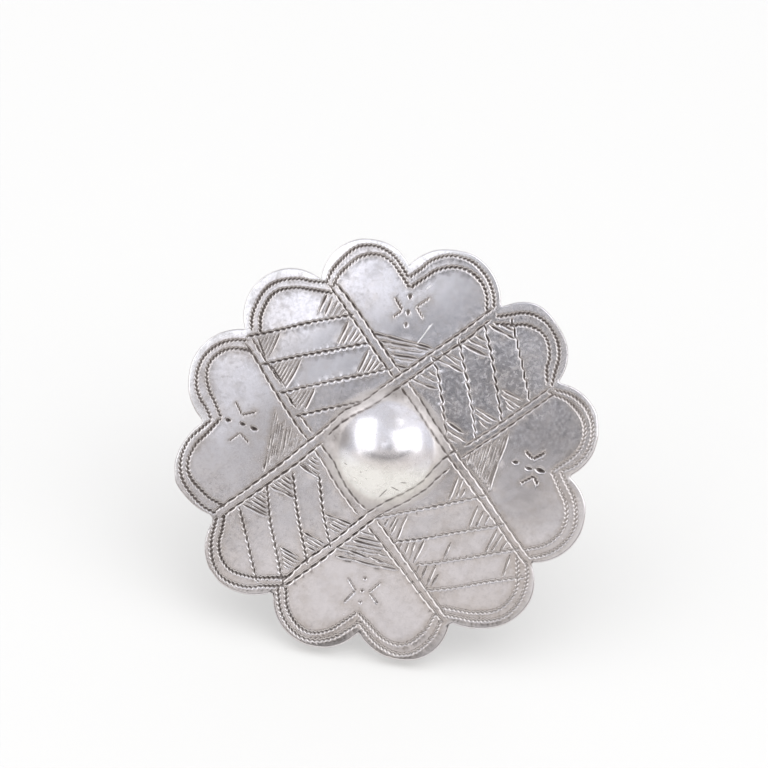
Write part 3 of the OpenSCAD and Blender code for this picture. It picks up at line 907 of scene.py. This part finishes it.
def silverMaterial(name, engravedFace):
    material = bpy.data.materials.new(name)
    material.use_nodes = True
    tree = material.node_tree
    tree.nodes.clear()
    relief, roughness, warms, darks, shows, less = [
        silver[part] for part in ("relief", "roughness", "warmth", "dark", "shows", "less")]
    x, y, z = faceCoords(tree)
    spot = combined(tree, x, y, z)
    patches, blotch, pebble, grain, stainy, murk, dents, pitted = [
        cloud(tree, spot, *settings) for settings in silver["clouds"].values()]
    scratches = 0.0
    for streak in silver["streaks"]:
        scratches = scratches + streaks(tree, x, y, z, *streak).between(*shows["streak"])
    scratches = scratches.atMost(1.0)
    pit = make(tree, "ShaderNodeTexVoronoi", {"feature": "F1"},
               {"Vector": spot, "Scale": silver["pitScale"]}, "Distance")
    pits = (1 - pit.between(*shows["pit"])) * pitted.between(*shows["pitted"])
    calm, bathed, lit, right, left, low = [(x * way[0] + y * way[1]).between(*span)
                                           for way, span in silver["sides"].values()]
    out = (x * x + y * y) ** 0.5
    polish = 1 - out.between(*silver["polishEdge"])
    foot = out.between(*silver["footRise"]) * (1 - out.between(*silver["footFall"]))
    front = z.between(*silver["frontEdge"])
    tarnish = (stainy.between(*shows["tarnish"]) * (silver["tarnishPatchy"] + patches.between(*shows["patches"]))
               * (silver["tarnishBehind"] + front * (1 - silver["tarnishBehind"])))
    freckles = (pebble.between(*shows["pebble"]) + grain.between(*shows["grain"])) * darks["freckle"]
    murk = murk.between(*shows["murk"])
    shoulder, ragged = 0.0, silver["stainRagged"]
    for px, py, wide, high in silver["stains"]:
        away = (((x - onFace(px, py)[0]) / wide) ** 2 + ((y - onFace(px, py)[1]) / high) ** 2) ** 0.5
        shoulder = shoulder + (1 - (away + blotch * ragged - ragged / 2).between(*shows["shoulder"]))
    warmth = (patches.between(*shows["warmPatches"]) * warms["patches"]
              + blotch.between(*shows["warmBlotch"]) * warms["blotch"]).clamped()
    rough = (roughness["plain"] + (blotch - 0.5) * roughness["blotch"] * (1 - bathed * less["blotchBathed"])
             + grain * roughness["grain"] + stainy.between(*shows["dull"]) * roughness["stain"]
             * (1 - bathed * less["stainBathed"]) * (1 - calm * less["stainCalm"]))
    rough = (rough + (roughness["polished"] + (blotch - 0.5) * roughness["polishedBlotch"] - rough) * polish
             + (roughness["foot"] - rough) * foot)
    height = dents * relief["dents"] + pebble * relief["pebble"] + grain * relief["grain"]
    height = (patches * relief["patches"]
              + height * (1 - polish * less["heightPolished"]) * (1 - bathed * less["heightBathed"]))
    height = height - scratches * relief["scratch"] - pits * relief["pit"]
    if engravedFace:
        groove, grime, stain, rim, worn, rubbed = [
            make(tree, "ShaderNodeAttribute", {"attribute_name": name}, {}, "Fac")
            for name in ("groove", "grime", "stain", "rim", "worn", "rubbed")]
        back = 1 - front
        warmth = (warmth + back * warms["back"] + stain * warms["stain"] + worn * warms["worn"]
                  + grime * blotch.between(*shows["grimy"]) * warms["grime"] + foot * warms["foot"]
                  + rim * warms["rim"] + shoulder * warms["shoulder"]).clamped()
        # dark patina in the grooves, also painted as shade on the wall turned from the light
        inGroove = groove.between(*shows["groove"]) * (darks["groove"] + darks["grooveBlotch"] * blotch)
        # painted shade darkens the face towards its right edge; it is also darker towards the far left, and less
        # tarnish is painted where the light bathes the upper left, a painted highlight
        spread = (tarnish * darks["tarnish"] * (1 - bathed * less["tarnishBathed"]) + murk * darks["murk"]
                  + right * darks["right"] + left * darks["left"])
        onBack = darks["back"] + murk * darks["backMurk"] + blotch * darks["backBlotch"]
        onFoot = darks["foot"] + darks["footBlotch"] * blotch.between(*shows["grimy"])
        onDome = stainy.between(*shows["domeStain"]) * darks["domeStain"] + murk * darks["domeMurk"]
        dark = (inGroove * (1 - worn * darks["grooveWorn"]) + worn * darks["worn"] + stain * darks["stain"]
                + spread * (1 - calm * less["darkCalm"]) * (1 - polish * less["darkPolished"])
                + pits * darks["pit"] + rim * darks["rim"]
                + freckles * (1 - polish * less["frecklePolished"]) * (1 - calm * less["freckleCalm"])
                + back * onBack + foot * onFoot + shoulder * darks["shoulder"] + polish * onDome).clamped()
    else:
        shares = silver["bandDark"]
        warmth = (warmth + warms["band"]).clamped()
        dark = (pits * darks["pit"] + tarnish * shares["tarnish"] + murk * shares["murk"]
                + blotch * shares["blotch"] + freckles * shares["freckle"] + shares["plain"]).clamped()
    colour = mixed(tree, warmth, silver["clean"], silver["warm"])
    if engravedFace:
        # the rim is rubbed bright and painted with a highlight, most of all at the upper left where the light falls
        colour = mixed(tree, rubbed * (silver["rimShine"] + lit * silver["litShine"]), colour, silver["bright"])
        for ends in silver["hairlines"]:
            scored = hairline(x, y, ends, silver["hairShine"])
            colour = mixed(tree, scored, colour, silver["bright"])
            rough = rough + scored * roughness["hairline"]
        for ends in silver["nicks"]:
            dark = dark.atLeast(hairline(x, y, ends, darks["nick"]))
    # the dome's lower side is painted cream: a painted reflection of the floor
    colour = mixed(tree, polish * low * silver["mirroredFloorShare"], colour, silver["mirroredFloorCream"])
    # darkened towards a dark colour by dirt, tarnish and pits, and by painted shade
    colour = mixed(tree, dark, colour, silver["dirtAndShade"])
    rough = (rough + dark * roughness["dark"] - scratches * roughness["scratch"]).clamped()
    bump = make(tree, "ShaderNodeBump", {}, {"Strength": 1.0, "Distance": metre, "Height": height})
    shader = make(tree, "ShaderNodeBsdfPrincipled", {},
                  {"Base Color": colour, "Metallic": 1.0, "Roughness": rough, "Normal": bump})
    tree.links.new(shader.socket, tree.nodes.new("ShaderNodeOutputMaterial").inputs["Surface"])
    return material


faceSilver = silverMaterial("engravedSilver", True)
bandSilver = silverMaterial("plainSilver", False)


def engravingTree():
    # every line presses a V into the sheet and raises a burr beside it
    tree, given = newTree("engrave", {"Geometry": "Geometry", "Lines": "Object", "Burr": "Float", "Burr Width": "Float",
                                      "Grime Reach": "Float", "Full Depth": "Float", "Material": "Material"})
    lines = make(tree, "GeometryNodeObjectInfo", {}, {"Object": given["Lines"]}, "Geometry")
    here = make(tree, "GeometryNodeInputPosition")
    looking = {"Geometry": lines, "Sample Position": here}
    away = make(tree, "GeometryNodeProximity", {"target_element": "EDGES"}, looking, "Distance")
    nearest = make(tree, "GeometryNodeSampleNearest", {"domain": "POINT"}, looking)

    def read(value, kind="FLOAT"):
        return make(tree, "GeometryNodeSampleIndex", {"data_type": kind, "domain": "POINT"},
                    {"Geometry": lines, "Index": nearest, "Value": value})

    def named(name, kind="FLOAT"):
        found = make(tree, "GeometryNodeInputNamedAttribute", {"data_type": kind}, {"Name": name}, "Attribute")
        return read(found, kind)

    depth, half, burrShare, far, stain, worn = [
        named(name) for name in ("depth", "half", "burr", "far", "stain", "worn")]
    fromLine = make(tree, "ShaderNodeVectorMath", {"operation": "SUBTRACT"}, (here, read(here, "FLOAT_VECTOR")))
    below = dotted(tree, fromLine, named("lower", "FLOAT_VECTOR"))
    burrShare = burrShare * (far + (1 - far) * (below / half).between(*graver["burrSide"]))
    share = away / half
    groove = (1 - share).atLeast(0.0)
    burr = (1 - (share - 1 - given["Burr Width"]).size() / given["Burr Width"]).atLeast(0.0)
    height = burr * burrShare * given["Burr"] - groove * depth
    out = make(tree, "GeometryNodeInputNormal", {}, {}, "Normal")
    shift = make(tree, "ShaderNodeVectorMath", {"operation": "SCALE"}, {"Vector": out, "Scale": height}, "Vector")
    grime = (1 - away / given["Grime Reach"]).atLeast(0.0)
    paleWall = (below / half).between(*graver["paleSide"]) * (1 - far) * graver["paleShare"]
    # patina in the grooves, darker the deeper the cut and kept off the wall that catches the light: real patina plus
    # painted shade on the wall turned from the light
    cutDarkAndShade = groove * (depth / given["Full Depth"]).atMost(graver["darkest"]) * (1 - paleWall)
    shape = given["Geometry"]
    for name, value in (("groove", cutDarkAndShade), ("grime", grime), ("stain", grime * stain),
                        ("worn", worn * groove.between(*graver["wornEdge"]))):
        shape = make(tree, "GeometryNodeStoreNamedAttribute", {"data_type": "FLOAT", "domain": "POINT"},
                     {"Geometry": shape, "Name": name, "Value": value})
    shape = make(tree, "GeometryNodeSetPosition", {}, {"Geometry": shape, "Offset": shift})
    endTree(tree, shape, given["Material"])
    return tree


guide = makeGuide()
rosette = makeRosette()
runTree(rosette, engravingTree(), {
    "Lines": guide, "Burr": graver["burr"] * metre, "Burr Width": graver["burrWidth"],
    "Grime Reach": graver["grimeReach"] * metre, "Full Depth": graver["fullDepth"] * metre, "Material": faceSilver})
bpy.data.objects.remove(guide)
rosette.data.shade_smooth()
rosette.data.set_sharp_from_angle(angle=math.radians(sheet["sharpFrom"]))
print("rosette triangles:", sum(len(p.vertices) - 2 for p in rosette.data.polygons))

hoop = {"bore": 8.75, "wall": 1.5, "width": 5.0, "round": 0.5, "around": 192, "roundSteps": 8, "sharpFrom": 50}
weld = 1e-7  # metres between corners that are joined


def hoopTree():
    tree, given = newTree("hoop", {"Geometry": "Geometry", "Middle Radius": "Float", "Wall": "Float", "Width": "Float",
                                   "Round": "Float", "Around": "Int", "Material": "Material"})
    path = make(tree, "GeometryNodeCurvePrimitiveCircle", {"mode": "RADIUS"},
                {"Resolution": given["Around"], "Radius": given["Middle Radius"]}, "Curve")
    profile = make(tree, "GeometryNodeCurvePrimitiveQuadrilateral", {"mode": "RECTANGLE"},
                   {"Width": given["Wall"], "Height": given["Width"]}, "Curve")
    profile = make(tree, "GeometryNodeSubdivideCurve", {}, {"Curve": profile, "Cuts": 1})
    profile = make(tree, "GeometryNodeFilletCurve", {"mode": "POLY"},
                   {"Curve": profile, "Radius": given["Round"], "Limit Radius": True,
                    "Count": hoop["roundSteps"]}, "Curve")
    shape = make(tree, "GeometryNodeCurveToMesh", {}, {"Curve": path, "Profile Curve": profile}, "Mesh")
    endTree(tree, shape, given["Material"])
    return tree


band = newObject("band", [], [])
runTree(band, hoopTree(), {
    "Middle Radius": hoop["bore"] + hoop["wall"] / 2, "Wall": hoop["wall"], "Width": hoop["width"],
    "Round": hoop["round"], "Around": hoop["around"], "Material": bandSilver})
print("hoop size:", [round(d, 3) for d in band.dimensions], len(band.data.polygons))
layBand = Matrix(((1, 0, 0, 0), (0, 0, 1, 0), (0, -1, 0, -boreBelow), (0, 0, 0, 1)))
band.data.transform(standFace @ layBand)

solder = {
    "round": 1.3, "from": 3.6, "sink": 0.3, "halfWidth": 2.5,
    "inset": 0.06, "spread": 0.4, "cornerSwell": 0.3,    # its sides spread towards the sheet
    "cross": 0.02,         # the round goes this far into the band
    "arcSteps": 14, "rows": 17,
}


def makeSolder():
    outer = hoop["bore"] + hoop["wall"]
    r = solder["round"]
    reach = r + outer - solder["cross"]
    middleX = math.sqrt(reach ** 2 - (outer - r) ** 2)
    touch = math.asin(middleX / reach)
    tangent = (outer * math.sin(touch), outer * math.cos(touch) - outer)
    start = math.atan2(tangent[1] + r, tangent[0] - middleX)
    if start < 0:
        start += 2 * math.pi
    steps, rows = solder["arcSteps"], solder["rows"]
    outline = [(solder["from"], solder["sink"], 0.0), (middleX, solder["sink"], solder["cornerSwell"])]
    for i in range(steps + 1):
        a = math.pi / 2 + (start - math.pi / 2) * i / steps
        outline.append((middleX + r * math.cos(a), -r + r * math.sin(a), (1 - i / steps) ** 2))
    mid = outer - hoop["wall"] / 2
    outline.append((mid * math.sin(touch), mid * math.cos(touch) - outer, 0.0))
    outline.append((solder["from"], math.sqrt(mid ** 2 - solder["from"] ** 2) - outer, 0.0))
    verts, faces = [], []
    for side in (1, -1):
        base = len(verts)
        for j in range(rows):
            v = -1 + 2 * j / (rows - 1)
            for x, z, swell in outline:
                half = solder["halfWidth"] - solder["inset"] + solder["spread"] * swell
                verts.append((side * x, v * half, z - sheet["thickness"]))
        n = len(outline)
        for j in range(rows - 1):
            for i in range(n):
                k = (i + 1) % n
                faces.append((base + j * n + i, base + j * n + k, base + (j + 1) * n + k, base + (j + 1) * n + i))
        faces.append(tuple(base + i for i in range(n)))
        faces.append(tuple(base + (rows - 1) * n + i for i in reversed(range(n))))
    return newObject("solder", placed(np.array(verts)), faces)


solderSeam = makeSolder()
for piece in (band, solderSeam):
    work = bmesh.new()
    work.from_mesh(piece.data)
    bmesh.ops.remove_doubles(work, verts=work.verts, dist=weld)
    bmesh.ops.recalc_face_normals(work, faces=work.faces)
    work.to_mesh(piece.data)
    work.free()
    if not piece.data.materials:
        piece.data.materials.append(bandSilver)
    piece.data.shade_smooth()
    piece.data.set_sharp_from_angle(angle=math.radians(hoop["sharpFrom"]))

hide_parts("ring")
for piece in (rosette, band, solderSeam):
    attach(piece, "root")
print("stage: ring made")

studio = {
    "floor": 3.0, "floorColour": (0.35, 0.348, 0.343, 1), "floorRough": 0.7,
    # the pale tent all round, brighter above the camera and at the flanks, and the table's glow below;
    # strengths first, then from where to where, in degrees from the face's own direction
    "tent": 0.64, "overhead": 0.88, "overheadEdge": (16, 34), "flank": 0.25, "flankFrom": (41, 55),
    "table": 0.88, "tableEdge": (-4.2, 0.2),
    # the opening in front of the rosette: dark at its lower right, brighter along a slanted line to the upper left
    "slit": (0.02, 0.42, 1.72), "slitSlope": 60, "slitRamp": (-4.0, 7.2), "slitSharp": 8, "slitReach": (10.0, 14.0),
    "gleam": 0.15, "gleamFrom": (3.0, 12.0), "gleamTo": (24.0, 40.0),
    # a dark bent gap under the table's edge, mirrored in the dome
    "gap": 0.88, "gapFrom": (-22, -18.5), "gapTo": (-13.5, -10.5), "gapBend": 0.0065, "gapReach": (48, 60),
    "tentColour": (0.947, 0.954, 1.0, 1), "tableColour": (1.0, 0.948, 0.915, 1),
    # soft boxes: their middle and the way their top points, as right, up and outward of the picture; size, radiance
    "boxDistance": 0.9,
    "boxes": {"softboxLeft": ((-0.637, 0.415, 0.65), (0.1, 1.07, -0.57), (0.6, 1.04), 1.25),
              "softboxRight": ((0.638, 0.267, 0.723), (-0.12, 0.76, -0.18), (0.93, 0.62), 1.2),
              "lampAbove": ((0.39, 0.764, 0.513), (0.0, 0.6, -1.0), (0.19, 0.19), 1.1)},
    "ceiling": {"height": 1.6, "size": 2.6, "radiance": 3.6},   # fills the shadow, and isn't mirrored in the metal
}
reach = studio["floor"]
floor = newObject("floor", [(-reach, -reach, 0), (reach, -reach, 0), (reach, reach, 0), (-reach, reach, 0)],
                  [(0, 1, 2, 3)])
floorMaterial = bpy.data.materials.new("paleFloor")
floorMaterial.use_nodes = True
floorShader = floorMaterial.node_tree.nodes["Principled BSDF"]
floorShader.inputs["Base Color"].default_value = studio["floorColour"]
floorShader.inputs["Roughness"].default_value = studio["floorRough"]
floor.data.materials.append(floorMaterial)

# the picture's own axes: its up and right lie in the rosette's face, turned a little
turn = photo["turn"]
pictureUp = faceUp * math.cos(turn) - Vector((1, 0, 0)) * math.sin(turn)
pictureRight = Vector((1, 0, 0)) * math.cos(turn) + faceUp * math.sin(turn)


def lightTent():
    # a pale tent, darker to the right of a slanted opening in front of the rosette and warm near the table
    world = bpy.data.worlds.new("lightTent")
    bpy.context.scene.world = world
    world.use_nodes = True
    tree = world.node_tree
    tree.nodes.clear()
    direction = make(tree, "ShaderNodeTexCoord", {}, {}, "Generated")
    rightward, upward, outward = [dotted(tree, direction, tuple(axis)) for axis in (pictureRight, pictureUp, faceOut)]
    aside = rightward.sum("ARCTAN2", rightward, outward) * math.degrees(1)
    above = upward.sum("ARCSINE", upward) * math.degrees(1)
    slope = math.radians(studio["slitSlope"])
    lift = above * math.sin(slope) - aside * math.cos(slope)
    reach = (aside * aside + above * above) ** 0.5
    dark, slow, quick = studio["slit"]
    low, high = studio["slitRamp"]
    ramp = ((lift - low) / (high - low)).atLeast(0.0).atMost(1.0)
    slit = dark + slow * ramp + quick * ramp ** studio["slitSharp"]
    around = reach.between(*studio["slitReach"])
    tent = studio["tent"] + (studio["overhead"] - studio["tent"]) * above.between(*studio["overheadEdge"])
    tent = tent + studio["gleam"] * lift.between(*studio["gleamFrom"]) * (1 - reach.between(*studio["gleamTo"]))
    tent = tent + studio["flank"] * aside.between(*studio["flankFrom"])
    strength = slit + (tent - slit) * around
    table = 1 - above.between(*studio["tableEdge"])
    strength = strength + (studio["table"] - strength) * table
    bent = above - aside * aside * studio["gapBend"]
    gap = bent.between(*studio["gapFrom"]) * (1 - bent.between(*studio["gapTo"]))
    gap = gap * (1 - reach.between(*studio["gapReach"]))
    strength = strength - studio["gap"] * gap
    colour = mixed(tree, table, studio["tentColour"], studio["tableColour"])
    shader = make(tree, "ShaderNodeBackground", {}, {"Color": colour, "Strength": strength})
    tree.links.new(shader.socket, tree.nodes.new("ShaderNodeOutputWorld").inputs["Surface"])


lightTent()


def softbox(name, middle, top, size, radiance):
    middle, top = [(pictureRight * v[0] + pictureUp * v[1] + faceOut * v[2]).normalized() for v in (middle, top)]
    sideways = top.cross(middle).normalized()
    light = bpy.data.lights.new(name, "AREA")
    light.shape = "RECTANGLE"
    light.size, light.size_y = size
    light.energy = radiance * math.pi * size[0] * size[1]
    lamp = bpy.data.objects.new(name, light)
    facing = Matrix((sideways, middle.cross(sideways), middle)).transposed().to_4x4()
    lamp.matrix_world = Matrix.Translation(faceMiddle + middle * studio["boxDistance"]) @ facing
    bpy.context.scene.collection.objects.link(lamp)


for name, box in studio["boxes"].items():
    softbox(name, *box)

overhead = studio["ceiling"]
ceilingLight = bpy.data.lights.new("ceiling", "AREA")
ceilingLight.size = overhead["size"]
ceilingLight.use_shadow = False
ceilingLight.energy = overhead["radiance"] * math.pi * overhead["size"] ** 2
ceiling = bpy.data.objects.new("ceiling", ceilingLight)
ceiling.location = (0, 0, overhead["height"])
ceiling.visible_glossy = False
ceiling.visible_camera = False
bpy.context.scene.collection.objects.link(ceiling)

print("stage: studio made")

# the view is this many millimetres wide at the rosette; the camera looks straight at the face, a little above it
lens = {"focal": 200, "sensor": 36, "view": 64.54, "aimUp": 5.507, "aimRight": -0.209, "near": 0.01, "far": 20}
viewData = bpy.data.cameras.new("view")
viewData.lens, viewData.sensor_width = lens["focal"], lens["sensor"]
viewData.clip_start, viewData.clip_end = lens["near"], lens["far"]
view = bpy.data.objects.new("view", viewData)
bpy.context.scene.collection.objects.link(view)
distance = lens["view"] * lens["focal"] / lens["sensor"] * metre
eye = faceMiddle + faceOut * distance + (pictureUp * lens["aimUp"] + pictureRight * lens["aimRight"]) * metre
rows = Matrix((pictureRight, pictureUp, faceOut)).transposed()
view.matrix_world = Matrix.Translation(eye) @ rows.to_4x4()
bpy.context.scene.camera = view
bpy.context.scene.view_settings.view_transform = "Standard"
